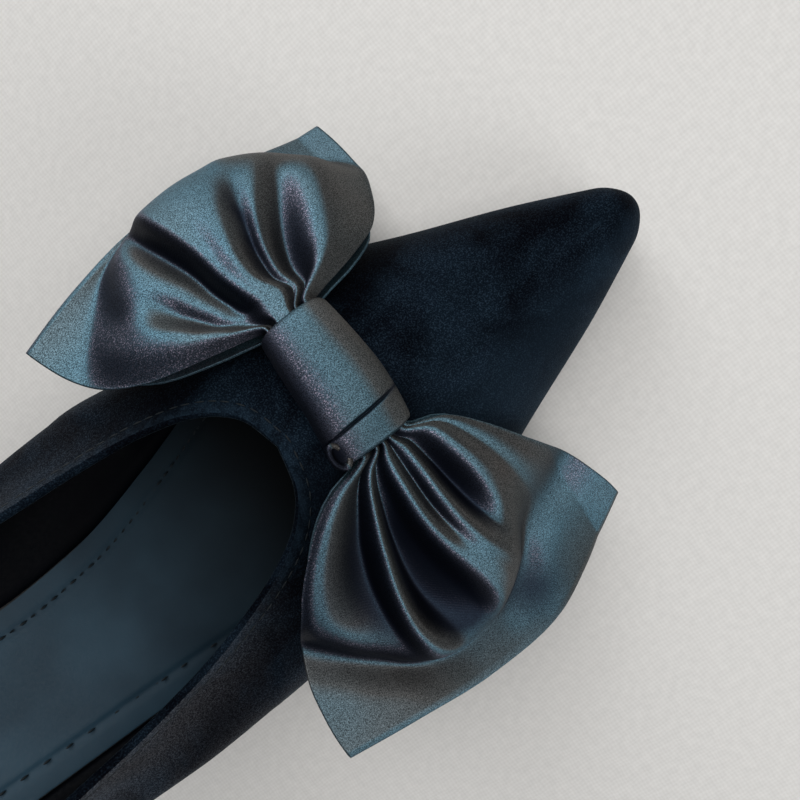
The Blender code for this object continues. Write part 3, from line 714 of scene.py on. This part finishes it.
def velvet():
    """Short dark pile: near black with a teal cast, patches of lighter and darker nap, fine light tips, a
    painted sheen on the outer side of the vamp, lighter in a wavy band along the collar edge, and a painted
    grey sheen on the steep walls."""
    material, tree, shader = finish_material("velvet", (0.003, 0.006, 0.010), 0.85, 0.03)
    where = add_node(tree, "ShaderNodeTexCoord").outputs["Object"]
    nap = grain(tree, where, 17.0, 4.0, 0.8)
    pile = grain(tree, where, 0.30, 2.0)
    base = ramp(tree, nap, (0.0003, 0.0006, 0.0020), (0.0032, 0.0072, 0.0130), 0.40, 0.68)
    tips = ramp(tree, pile, (0, 0, 0), (0.030, 0.052, 0.078), 0.48, 0.84)
    patch = ramp(tree, nap, (0.42, 0.42, 0.42), (1.15, 1.15, 1.15), 0.38, 0.66)
    base = blend(tree, 0.64, base, blend(tree, 1.0, tips, patch, "MULTIPLY"), "ADD")
    # Painted sheen: lighter on the outer side of the vamp, and lighter in a wavy band along the collar edge.
    outer_sheen_and_rim = add_node(tree, "ShaderNodeAttribute", attribute_name="outer_sheen_and_rim").outputs["Fac"]
    base = blend(tree, outer_sheen_and_rim, base, blend(tree, 1.0, base, (0.007, 0.014, 0.022), "ADD"))
    # Painted grey sheen on the steep walls.
    wall_sheen = add_node(tree, "ShaderNodeAttribute", attribute_name="wall_sheen").outputs["Fac"]
    painted_sheen = ramp(tree, pile, (0.012, 0.012, 0.014), (0.082, 0.081, 0.086), 0.40, 0.72)
    base = blend(tree, wall_sheen, base, blend(tree, 1.0, base, painted_sheen, "ADD"))
    tree.links.new(base, shader.inputs["Base Color"])
    shader.inputs["Sheen Weight"].default_value = 0.12
    shader.inputs["Sheen Roughness"].default_value = 0.22
    shader.inputs["Sheen Tint"].default_value = (0.36, 0.50, 0.58, 1)
    bump(tree, shader, ((nap, 0.3, 1.5), (pile, 0.55, 0.30)))
    return material


def satin():
    """Smooth dark satin with a fine yarn speckle and light painted on by the way it faces: teal where it lies
    flat, painted mauve glints and painted navy shade as it turns to the heel, a painted brown-grey floor
    reflection as it turns to the toe, painted shade in its folds, with twill lines and a soft stretched
    gloss."""
    material, tree, shader = finish_material("satin", (0.03, 0.06, 0.075), 0.36, 0.5)
    where = add_node(tree, "ShaderNodeTexCoord").outputs["Object"]
    cloth = add_node(tree, "ShaderNodeUVMap", uv_map="cloth").outputs["UV"]
    yarn = grain(tree, where, 0.20, 1.0)
    turn = add_node(tree, "ShaderNodeAttribute", attribute_name="turn").outputs["Fac"]
    # Painted light by facing: navy shade towards the heel, teal where flat, brown-grey floor reflection
    # towards the toe.
    base = facing_light_colours(tree, turn)
    drift = grain(tree, where, 22.0, 2.0)
    tint = ramp(tree, drift, (0.86, 0.97, 1.0), (1.0, 0.96, 0.93), 0.35, 0.68)
    base = blend(tree, 1.0, base, tint, "MULTIPLY")
    speckle = ramp(tree, yarn, (0.36, 0.36, 0.36), (1.68, 1.68, 1.68), 0.32, 0.70)
    base = blend(tree, 1.0, base, speckle, "MULTIPLY")
    # Painted highlight: mauve glints where the satin turns towards the heel.
    painted_glints = ramp(tree, grain(tree, where, 0.23, 0.0), (0, 0, 0), (1, 1, 1), 0.60, 0.70)
    edge = add_node(tree, "ShaderNodeAttribute", attribute_name="painted_glints").outputs["Fac"]
    painted_glints = blend(tree, 1.0, painted_glints, edge, "MULTIPLY")
    base = blend(tree, painted_glints, base, (0.40, 0.36, 0.47))
    # Painted shade in the folds, valleys and recesses.
    fold_shade = add_node(tree, "ShaderNodeAttribute", attribute_name="fold_shade").outputs["Fac"]
    base = blend(tree, fold_shade, base, (0.006, 0.009, 0.019))
    tree.links.new(base, shader.inputs["Base Color"])
    glints = ramp(tree, yarn, (0.60, 0.60, 0.60), (0.48, 0.48, 0.48), 0.35, 0.7)
    tree.links.new(glints, shader.inputs["Roughness"])
    shader.inputs["Metallic"].default_value = 0.9
    shader.inputs["Anisotropic"].default_value = 0.5
    tangent = add_node(tree, "ShaderNodeTangent", direction_type="UV_MAP", uv_map="cloth").outputs["Tangent"]
    tree.links.new(tangent, shader.inputs["Tangent"])
    slanted = add_node(tree, "ShaderNodeMapping", {"Vector": cloth, "Rotation": (0, 0, np.radians(35))})
    twill = add_node(tree, "ShaderNodeTexWave", {
        "Vector": slanted.outputs["Vector"], "Scale": 0.62, "Distortion": 0.4}, wave_type="BANDS")
    bump(tree, shader, ((twill.outputs["Fac"], 0.16, 0.06), (yarn, 0.16, 0.06)))
    return material


def facing_light_colours(tree, turn):
    """Painted light on the satin by the way it faces, from the heel (0) through flat (0.5) to the toe (1):
    navy shade, teal, brown-grey floor reflection.
    """
    made = add_node(tree, "ShaderNodeValToRGB", {"Fac": turn})
    stops = made.color_ramp.elements
    while len(stops) < len(SATIN_FACING_LIGHT):
        stops.new(0.5)
    for stop, (place, colour) in zip(stops, SATIN_FACING_LIGHT):
        stop.position = place
        stop.color = (*colour, 1)
    return made.outputs["Color"]


def smooth_leather(name, dark, light, roughness, specular, pore, shade_field=None):
    """Fine leather: slow changes of tone, small pores in the bump and an uneven soft gloss. Where a field
    is named, painted shade: the leather goes dull and dark as the field rises."""
    material, tree, shader = finish_material(name, dark, roughness, specular)
    where = add_node(tree, "ShaderNodeTexCoord").outputs["Object"]
    tone = grain(tree, where, 26.0, 3.0)
    skin = grain(tree, where, pore, 3.0)
    colour = ramp(tree, tone, dark, light, 0.35, 0.68)
    gloss = ramp(tree, skin, (roughness - 0.06,) * 3, (roughness + 0.08,) * 3, 0.3, 0.7)
    if shade_field:
        field = add_node(tree, "ShaderNodeAttribute", attribute_name=shade_field).outputs["Fac"]
        colour = blend(tree, field, colour, tuple(0.06 * c for c in dark))
        gloss = blend(tree, field, gloss, (0.8, 0.8, 0.8))
    tree.links.new(colour, shader.inputs["Base Color"])
    tree.links.new(gloss, shader.inputs["Roughness"])
    bump(tree, shader, ((tone, 0.15, 1.2), (skin, 0.16, 0.12)))
    return material


def thread():
    """Twisted dark thread."""
    material, tree, shader = finish_material("thread", (0.004, 0.007, 0.010), 0.6, 0.3)
    where = add_node(tree, "ShaderNodeTexCoord").outputs["Object"]
    ply = grain(tree, where, 0.25, 2.0)
    tree.links.new(ramp(tree, ply, (0.002, 0.004, 0.006), (0.010, 0.016, 0.021), 0.3, 0.7),
                   shader.inputs["Base Color"])
    bump(tree, shader, ((ply, 0.4, 0.1),))
    return material


def rubber():
    """Hard dull rubber of the heel's top piece."""
    material, tree, shader = finish_material("top_piece_rubber", (0.012, 0.012, 0.013), 0.6, 0.4)
    where = add_node(tree, "ShaderNodeTexCoord").outputs["Object"]
    scuff = grain(tree, where, 3.0, 4.0)
    tree.links.new(ramp(tree, scuff, (0.008, 0.008, 0.009), (0.02, 0.02, 0.021), 0.35, 0.7),
                   shader.inputs["Base Color"])
    bump(tree, shader, ((grain(tree, where, 0.5, 2.0), 0.25, 0.1),))
    return material


def linen_floor():
    """Pale warm cloth: two crossed sets of uneven threads, barely darker between them."""
    material, tree, shader = finish_material("floor_cloth", (0.70, 0.68, 0.66), 0.9, 0.1)
    where = add_node(tree, "ShaderNodeTexCoord").outputs["Object"]
    threads = []
    for direction in ("X", "Y"):
        threads.append(add_node(tree, "ShaderNodeTexWave", {
            "Vector": where, "Scale": 330.0, "Distortion": 6.0, "Detail": 3.0, "Detail Scale": 0.6},
            wave_type="BANDS", bands_direction=direction).outputs["Fac"])
    bands = [ramp(tree, t, (0.755, 0.735, 0.712), (0.80, 0.784, 0.765), 0.2, 0.8) for t in threads]
    weave = blend(tree, 0.5, *bands)
    slub = ramp(tree, grain(tree, where, 2.2, 3.0), (0.955, 0.955, 0.955), (1.02, 1.02, 1.02), 0.3, 0.7)
    tree.links.new(blend(tree, 1.0, weave, slub, "MULTIPLY"), shader.inputs["Base Color"])
    bump(tree, shader, ((threads[0], 0.03, 0.2), (threads[1], 0.03, 0.2)))
    return material


# Painted light by facing: navy shade on heel-facing slopes, teal flat, brown-grey floor reflection on
# toe-facing slopes.
SATIN_FACING_LIGHT = (
    (0.11, (0.012, 0.015, 0.025)),
    (0.26, (0.034, 0.038, 0.058)),
    (0.38, (0.070, 0.082, 0.112)),
    (0.49, (0.078, 0.136, 0.174)),
    (0.565, (0.074, 0.126, 0.158)),
    (0.66, (0.094, 0.096, 0.098)),
    (0.90, (0.082, 0.078, 0.076)),
)
VELVET = velvet()
SATIN = satin()
LINING = smooth_leather("lining_leather", (0.0006, 0.0010, 0.0022), (0.0012, 0.0020, 0.0038), 0.5, 0.035, 0.7)
SOCK = smooth_leather("sock_leather", (0.013, 0.034, 0.055), (0.029, 0.067, 0.101), 0.40, 0.13, 0.6, "depth")
SOLE = smooth_leather("sole_leather", (0.010, 0.010, 0.011), (0.020, 0.019, 0.018), 0.42, 0.3, 0.9)
THREAD = thread()
RUBBER = rubber()


def add_upper():
    """Both sides of the wall on fine grids, tucked under at the feather edge, with the folded edge band
    along the collar raised and a groove where it is stitched down."""
    front = THROAT * (1 - (1 - np.linspace(0, 1, 80)) ** 1.4)
    back = THROAT + (1 - THROAT) * np.linspace(0, 1, 170) ** 1.3
    share = np.concatenate((front, back[1:]))
    above = 1 - (1 - np.linspace(0, 1, 44)[1:]) ** 1.7
    height = np.concatenate((np.linspace(0, WIDE_AT, 13), WIDE_AT + (1 - WIDE_AT) * above))
    x = length_at(share)
    points, faces, count = [], [], 0
    for side in (1, -1):
        wall = upper_wall(side, share, height)
        tuck_x = TUCK_IN + x * (LENGTH - 2 * TUCK_IN) / LENGTH
        tuck_z = bottom("under", tuck_x) + SOLE_THICK + TUCK_CLEAR
        tuck = np.stack((tuck_x, sole_outline(side, tuck_x, TUCK_IN), tuck_z), 1)
        wall = np.concatenate((tuck[:, None], wall), 1)
        quads = grid_faces(*wall.shape[:2]) + count
        faces.append(quads if side > 0 else quads[:, ::-1])
        points.append(wall.reshape(-1, 3))
        count += len(points[-1])
    points, faces = np.concatenate(points), np.concatenate(faces)
    piece = put_piece("upper_velvet", points, faces, (VELVET, LINING))
    surface, facing = mesh_arrays(piece)
    rim = collar_curve(700)
    _, away = nearest(surface, rim)
    band = soft_step((EDGE_BAND + 0.5 - away) / 0.6)
    groove = np.exp(-((away - EDGE_BAND) / 0.42) ** 2)
    shaped = surface + facing * (BAND_RISE * band - STITCH_GROOVE * groove)[:, None]
    set_points(piece, shaped)
    wavy = np.sin(surface[:, 0] * 1.9 + 2 * np.sin(surface[:, 1] * 1.3)) * np.sin(surface[:, 1] * 2.1)
    rough = 0.5 + 0.5 * wavy
    # Painted sheen mask: the outer-facing side of the vamp ahead of the throat, plus a wavy band along the
    # collar edge.
    outer_sheen_and_rim = 0.8 * soft_step((0.05 - facing[:, 1]) / 0.7) * soft_step((surface[:, 0] - 150) / 25)
    add_field(piece, "outer_sheen_and_rim", np.clip(outer_sheen_and_rim + 0.9 * rough * np.exp(-(away / 2.4) ** 2), 0, 1))
    # Painted grey sheen on the steep walls, stronger on the outer side, fading out towards the toe.
    outwards = soft_step((0.45 - facing[:, 1]) / 0.9)
    wall_sheen = soft_step((0.90 - facing[:, 2]) / 0.6) * (0.5 + 0.5 * outwards)
    fade = 140 + 20 * outwards
    add_field(piece, "wall_sheen", wall_sheen * (1 - 0.85 * soft_step((surface[:, 0] - fade) / 40)))
    thicken(piece, UPPER_THICK, -1, inside=1)
    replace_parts(piece, "upper")
    return surface, facing, rim


def add_topline(surface, facing, rim):
    """Rolled edge of the collar, and the row of stitches that holds its turned edge down on the outside."""
    index, _ = nearest(rim, surface)
    wall = sum(np.roll(facing[index], k, 0) for k in range(-6, 7))
    wall /= np.linalg.norm(wall, axis=1)[:, None]
    along = closed_tangents(rim)
    wall -= along * (wall * along).sum(1)[:, None]
    wall /= np.linalg.norm(wall, axis=1)[:, None]
    outwards = np.cross(wall, along)
    outwards *= np.sign(outwards[0, 0])
    middle = rim - wall * (UPPER_THICK / 2 - 0.05) + outwards * 0.35
    ring = tube(middle, wall, outwards, BEAD_RADIUS, BEAD_RADIUS * 0.95, 14)
    quads = grid_faces(ring.shape[0], ring.shape[1], True)
    bead = put_piece("topline_edge", ring, quads, (VELVET,))
    face_out(bead)
    row = rim + outwards * EDGE_BAND
    index, _ = nearest(row, surface)
    row = row - facing[index] * ((row - surface[index]) * facing[index]).sum(1)[:, None]
    points, quads = stitches(row + facing[index] * 0.02, facing[index], **TOPLINE_STITCH)
    face_out(put_piece("topline_stitches", points, quads, (THREAD,)))


def face_out(piece):
    """Turn a closed piece's faces outwards."""
    work = bmesh.new()
    work.from_mesh(piece.data)
    bmesh.ops.recalc_face_normals(work, faces=work.faces)
    work.to_mesh(piece.data)
    work.free()
    return piece


def sole_sheet(inset, rise, stations, columns):
    """Sheet over the last's bottom between its outer and inner edge; rise gives its height by the share of
    the half width, 0 in the middle and 1 at the edge, and by the half width itself."""
    x = sole_stations(stations, inset)
    across = np.linspace(-1, 1, columns)
    outer, inner = (sole_outline(side, x, inset) for side in (-1, 1))
    y = outer[:, None] + (inner - outer)[:, None] * (across + 1) / 2
    z = bottom("under", x)[:, None] + rise(np.abs(across)[None, :], (inner - outer)[:, None] / 2)
    return np.stack((x[:, None] + 0 * y, y, z), -1)


def add_sock():
    """Padded sock: a sheet with a shallow dish, drawn down along its stitch row, with rounded edges."""
    top = SOLE_THICK + GAP + INSOLE_THICK

    def rise(edge, room):
        return top - (SOCK_DISH * (1 - edge ** 2) ** 2 - 0.25 * edge ** 6) * soft_step(room / 17)

    sheet = sole_sheet(INSOLE_INSET, rise, 190, 91)
    piece = put_piece("sock", sheet, grid_faces(*sheet.shape[:2])[:, ::-1], (SOCK,))
    surface = mesh_arrays(piece)[0]
    x = sole_stations(600, SOCK_STITCH_INSET)
    sides = [np.stack((x, sole_outline(side, x, SOCK_STITCH_INSET), 0 * x), 1) for side in (1, -1)]
    row = even_steps(np.concatenate((sides[0], sides[1][::-1])), 900)
    _, away = nearest(surface[:, :2], row[:, :2])
    set_points(piece, surface - np.array((0, 0, 0.45)) * np.exp(-(away / 0.9) ** 2)[:, None])
    # Painted shade: the sock goes darker and duller towards the toe, inside the shoe under the vamp.
    add_field(piece, "depth", soft_step((surface[:, 0] - 88) / 60))
    surface, facing = mesh_arrays(piece)
    index, _ = nearest(row[:, :2], surface[:, :2])
    row[:, 2] = surface[index, 2]
    thicken(piece, INSOLE_THICK - 0.8, -1)
    round_edges(piece, 0.6, 3)
    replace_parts(piece, "insole")
    points, quads = stitches(row + facing[index] * 0.14, facing[index], **SOCK_STITCH)
    face_out(put_piece("sock_stitches", points, quads, (THREAD,)))


def add_outsole():
    """Thin sole with rounded edges under the whole last, carried on to the feather edge at the toe."""
    sheet = sole_sheet(SOLE_INSET, lambda edge, room: 0 * edge * room, 150, 25)
    sheet[..., 0] += TOE_CARRY * soft_step((sheet[..., 0] - 228) / 17)
    piece = put_piece("outsole_leather", sheet, grid_faces(*sheet.shape[:2]), (SOLE,))
    thicken(piece, SOLE_THICK, -1)
    round_edges(piece, 0.7, 3)
    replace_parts(piece, "outsole")


def heel_rings(levels, stations):
    """Heel sections from the seat to the tip: round at the back, straight at the breast, the seat rows
    following the sole's underside."""
    share = np.linspace(0, 1, levels) ** 1.3
    u = (1 - np.cos(np.pi * np.linspace(0, 1, stations))) / 2
    rows = [column(HEEL, HEEL_COLUMNS, name) for name in HEEL_COLUMNS]
    back, front, half = (smooth_table(share, rows[0], row)[:, None] for row in rows[1:])
    x = back + (front - back) * u
    round_back = np.sqrt(1 - (1 - np.clip(u / 0.6, 0, 1)) ** 2)
    seat_x = HEEL[0, 1] + (HEEL[0, 2] - HEEL[0, 1]) * u
    mixed = np.clip(share / 0.25, 0, 1)[:, None]
    seat_z = bottom("under", seat_x) - GAP
    tip_z = TOP_PIECE_THICK + GAP
    z = seat_z + (tip_z - seat_z) * share[:, None]
    sides = []
    for side in (1, -1):
        seat_y = side * (bottom(side_name(side), seat_x) - 1.4) * round_back
        y = (1 - mixed) * seat_y * half / HEEL[0, 3] + mixed * side * half * round_back
        sides.append(np.stack((x, y, z + 0 * x), -1))
    return sides


def add_heel():
    """Velvet covered heel as one ring per level, both ends closed by strips, and the top piece under it."""
    inner, outer = heel_rings(70, 40)
    t = np.linspace(0, 1, 13)[None, None, :, None]
    sheets = outer[:, :, None] * (1 - t) + inner[:, :, None] * t
    ring = np.concatenate((sheets[:, :, 0], sheets[:, -1, 1:-1], sheets[:, ::-1, -1][:, :-1]), 1)
    points, faces, count = [ring.reshape(-1, 3)], [grid_faces(*ring.shape[:2], True)], ring[..., 0].size
    for sheet in (sheets[0], sheets[-1]):
        faces.append(grid_faces(*sheet.shape[:2]) + count)
        points.append(sheet.reshape(-1, 3))
        count += sheet[..., 0].size
    heel = put_piece("heel_velvet", np.concatenate(points), np.concatenate(faces), (VELVET,))
    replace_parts(face_out(heel), "heel")
    # Painted grey sheen over the whole heel, as on the steep walls of the upper.
    add_field(heel, "wall_sheen", np.full(len(heel.data.vertices), 0.8))
    tip = sheets[-1].copy()
    tip[..., 2] = 0
    piece = put_piece("top_piece_rubber", tip, grid_faces(*tip.shape[:2]), (RUBBER,))
    face_up = mesh_arrays(piece)[1][0, 2] > 0
    thicken(piece, TOP_PIECE_THICK, 1 if face_up else -1)
    round_edges(piece, 0.5, 3)
    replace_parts(piece, "heel_top_piece")


def add_field(piece, field, values):
    """One value for each point of a piece, for its material to read."""
    piece.data.attributes.new(field, "FLOAT", "POINT").data.foreach_set("value", values.astype(np.float32))


def add_turn(piece):
    """Fields of a satin piece: how far it faces the toe (1) or the heel (0), which sets its painted light,
    and where painted mauve glints go between.
    """
    turn = mesh_arrays(piece)[1] @ (np.cos(BOW_SLOPE), 0, -np.sin(BOW_SLOPE))
    add_field(piece, "turn", 0.5 + 0.5 * turn)
    add_field(piece, "painted_glints", 0.8 * np.exp(-((turn + 0.24) / 0.13) ** 2))


def add_loop(name):
    """A ring of ribbon: the back layer out to the hem and the front layer home again, open at both edges."""
    across = np.linspace(-1, 1, 201)[:, None]
    back_share = (1 - np.cos(np.pi * np.linspace(0, 1, 40))) / 2
    front_share = (1 - np.cos(np.pi * np.linspace(0, 1, 125))) / 2
    back, back_cloth, back_shade = loop_layer(name, back_share[None, :-1], across, False)
    front, front_cloth, front_shade = loop_layer(name, front_share[None, ::-1], across, True)
    ring = np.concatenate((back, front), 1)
    cloth = np.concatenate((back_cloth, front_cloth), 1)
    # Painted shade of the front layer; the back layer gets none.
    fold_shade = np.concatenate((back_shade, front_shade), 1)
    faces = grid_faces(*ring.shape[:2])
    faces = faces[:, ::-1] if LOOP_SHAPE[name]["side"] > 0 else faces
    piece = put_piece("bow_loop_%s_satin" % name, ring, faces, (SATIN,), cloth, {"fold_shade": fold_shade})
    add_turn(piece)
    thicken(piece, SATIN_THICK, 0)
    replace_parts(piece, "bow_loop_" + name)


def add_knot():
    """Band of satin wrapped round the loops' necks."""
    reach = np.sort(np.concatenate((np.linspace(-KNOT_REACH, KNOT_REACH, 70), np.linspace(-9, -5, 40)[1:-1])))
    turn = np.linspace(0, 2 * np.pi, 121)[:-1]
    band = knot_points(reach, turn)
    band_cloth = np.stack(np.broadcast_arrays(9 * turn[None, :], reach[:, None]), -1)
    angle, rise = np.linspace(0, 1.7 * np.pi, 50), np.linspace(0, 1, 12)
    curl = knot_curl(angle, rise)
    curl_cloth = np.stack(np.broadcast_arrays(60 + 2 * angle[:, None], 5 * rise[None, :]), -1)
    points = np.concatenate((band.reshape(-1, 3), curl.reshape(-1, 3)))
    curl_faces = grid_faces(*curl.shape[:2]) + band[..., 0].size
    faces = np.concatenate((grid_faces(*band.shape[:2], True), curl_faces))
    cloth = np.concatenate((band_cloth.reshape(-1, 2), curl_cloth.reshape(-1, 2)))
    away = np.linalg.norm(points - curl[:, -1].mean(0), axis=1)
    # Painted shade along the pleat, inside the rolled end and at its foot.
    pleat_shade = np.exp(-((reach[:, None] - PLEAT_REACH - 0.3 - 0.7 * np.cos(turn)) / 0.4) ** 2)
    fold_shade = 0.9 * np.exp(-(away / 2.3) ** 4)
    fold_shade[:pleat_shade.size] = np.maximum(fold_shade[:pleat_shade.size], 0.9 * pleat_shade.ravel())
    fold_shade[band[..., 0].size:] = np.broadcast_to(0.8 * (1 - rise[None, :]), curl.shape[:2]).ravel()
    piece = put_piece("bow_knot_satin", points, faces, (SATIN,), cloth, {"fold_shade": fold_shade})
    face_out(piece)
    add_turn(piece)
    thicken(piece, KNOT_THICK, -1)
    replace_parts(piece, "bow_knot")


def add_floor():
    """Wide flat floor."""
    mesh = bpy.data.meshes.new("floor")
    half = 4.0
    corners = [(-half, -half, 0), (half, -half, 0), (half, half, 0), (-half, half, 0)]
    mesh.from_pydata(corners, [], [(0, 1, 2, 3)])
    mesh.materials.append(linen_floor())
    floor = bpy.data.objects.new("floor", mesh)
    bpy.context.scene.collection.objects.link(floor)


def add_light(name, place, target, wide, tall, power, colour):
    """Soft box that faces its target; places in metres."""
    data = bpy.data.lights.new(name, "AREA")
    data.shape = "RECTANGLE"
    data.size = wide
    data.size_y = tall
    data.energy = power
    data.color = colour
    light = bpy.data.objects.new(name, data)
    bpy.context.scene.collection.objects.link(light)
    away = np.array(place, float) - np.array(target, float)
    set_place(light, place, away, (0, 0, 1) if abs(away[1]) > abs(away[2]) else (0, 1, 0))


def set_place(thing, place, back, up_hint):
    """Put an object so that its own Z points back and its Y leans to the hint."""
    back = np.array(back, float) / np.linalg.norm(back)
    right = np.cross(up_hint, back)
    right /= np.linalg.norm(right)
    up = np.cross(back, right)
    matrix = np.eye(4)
    matrix[:3, :4] = np.stack((right, up, back, np.array(place, float)), 1)
    thing.matrix_world = Matrix(matrix.tolist())


def add_camera():
    """Close camera above the toe at the photograph's angle, rolled so that the toe points up and right."""
    aim = np.array((187.0 - MIDDLE_X, -3.7, 38.0)) * MM
    lean_x, lean_y, roll = -0.018, 0.223, -0.645
    distance = 142.5 * MM
    focal_pixels, frame_pixels, sensor = 736.0, 800.0, 36.0
    cx, sx, cy, sy = np.cos(lean_x), np.sin(lean_x), np.cos(lean_y), np.sin(lean_y)
    tilt = np.array(((cy, 0, sy), (0, 1, 0), (-sy, 0, cy))) @ np.array(((1, 0, 0), (0, cx, -sx), (0, sx, cx)))
    back = tilt @ (0, 0, 1)
    up = tilt @ (-np.sin(roll), np.cos(roll), 0)
    data = bpy.data.cameras.new("camera")
    data.sensor_width = sensor
    data.lens = focal_pixels / frame_pixels * sensor
    data.clip_start = 0.01
    camera = bpy.data.objects.new("camera", data)
    bpy.context.scene.collection.objects.link(camera)
    set_place(camera, aim + back * distance, back, up)
    bpy.context.scene.camera = camera


def add_world(colour, strength):
    """Even pale surroundings."""
    world = bpy.data.worlds.new("studio")
    world.use_nodes = True
    world.node_tree.nodes["Background"].inputs["Color"].default_value = (*colour, 1)
    world.node_tree.nodes["Background"].inputs["Strength"].default_value = strength
    bpy.context.scene.world = world


add_camera()
add_topline(*add_upper())
add_sock()
add_outsole()
add_heel()
add_loop("inner")
add_loop("outer")
add_knot()
add_floor()
add_world((0.92, 0.96, 1.0), 0.12)
BOW_SPOT = (0.06, 0, 0.04)
add_light("over", (0.42, 0.10, 1.10), BOW_SPOT, 0.65, 1.5, 8.6, (1.0, 0.99, 0.97))
add_light("inner_side", (0.32, 1.15, 0.70), BOW_SPOT, 0.65, 0.9, 8.0, (0.97, 0.99, 1.0))
add_light("outer_side", (0.42, -1.15, 0.66), BOW_SPOT, 0.65, 0.9, 5.0, (0.97, 0.99, 1.0))
bpy.context.scene.view_settings.view_transform = "Standard"
